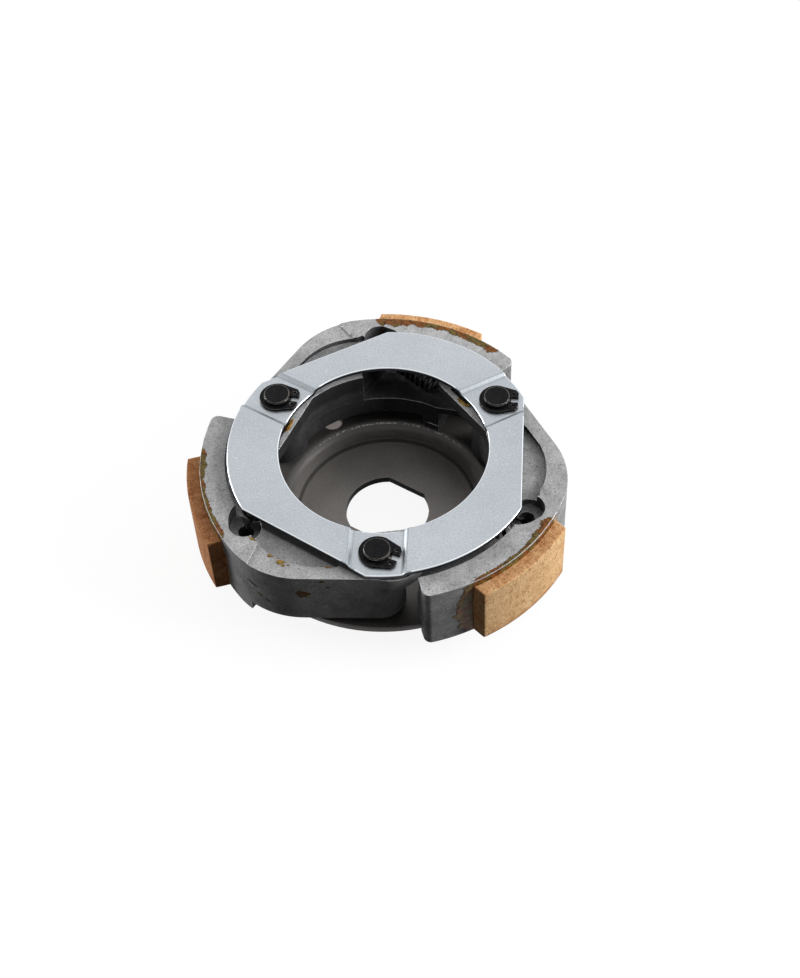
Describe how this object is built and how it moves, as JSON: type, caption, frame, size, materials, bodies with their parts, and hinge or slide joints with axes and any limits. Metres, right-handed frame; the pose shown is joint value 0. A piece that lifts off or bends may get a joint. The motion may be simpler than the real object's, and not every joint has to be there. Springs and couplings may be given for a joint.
{
  "type": "centrifugal clutch",
  "caption": "Centrifugal clutch for a scooter, garden or farm machine: hinged shoes with bonded linings swing out on pins against return springs and grip a bell.",
  "frame": {"origin": "on the clutch's axis, in the plane of the underside of the drive plate's dished floor", "axes": "+Z along the clutch's axis, from the drive plate towards the side plate; -Y through the first pivot pin"},
  "size_m": [0.1269, 0.124, 0.0384],
  "materials": {
    "dark_plate": "dark phosphated steel, satin",
    "plated_sheet": "zinc plated, satin",
    "black_steel": "blackened and oiled, half gloss",
    "cast_alloy": "as cast, matt",
    "friction": "moulded friction material, matt",
    "spring_wire": "dark drawn wire",
    "rubber": "matt"
  },
  "bodies": {
    "carrier": {"drive_plate": "dark_plate", "side_plate": "plated_sheet", "pivot_pin_1": "black_steel", "pivot_pin_2": "black_steel", "pivot_pin_3": "black_steel", "snap_ring_1": "black_steel", "snap_ring_2": "black_steel", "snap_ring_3": "black_steel", "stop_peg_1": "black_steel", "stop_peg_2": "black_steel", "stop_peg_3": "black_steel", "damper_rubber_1": "rubber", "damper_rubber_2": "rubber", "damper_rubber_3": "rubber"},
    "arm_1": {"shoe_1": "cast_alloy", "lining_1": "friction", "return_spring_1": "spring_wire"},
    "arm_2": {"shoe_2": "cast_alloy", "lining_2": "friction", "return_spring_2": "spring_wire"},
    "arm_3": {"shoe_3": "cast_alloy", "lining_3": "friction", "return_spring_3": "spring_wire"}
  },
  "joints": [
    {"name": "shoe_1_swing", "type": "hinge", "parent": "carrier", "child": "arm_1", "pos_m": [0, -0.0432, 0.0228], "axis": [0, 0, 1], "range_deg": [0, 0.9], "stiffness_Nm_per_rad": 8, "springref_deg": -14.32, "deforming": ["return_spring_1"]},
    {"name": "shoe_2_swing", "type": "hinge", "parent": "carrier", "child": "arm_2", "pos_m": [0.03741, 0.0216, 0.0228], "axis": [0, 0, 1], "range_deg": [0, 1.4], "stiffness_Nm_per_rad": 8, "springref_deg": -14.32, "deforming": ["return_spring_2"]},
    {"name": "shoe_3_swing", "type": "hinge", "parent": "carrier", "child": "arm_3", "pos_m": [-0.03741, 0.0216, 0.0228], "axis": [0, 0, 1], "range_deg": [0, 2.3], "stiffness_Nm_per_rad": 8, "springref_deg": -14.32, "deforming": ["return_spring_3"]}
  ]
}
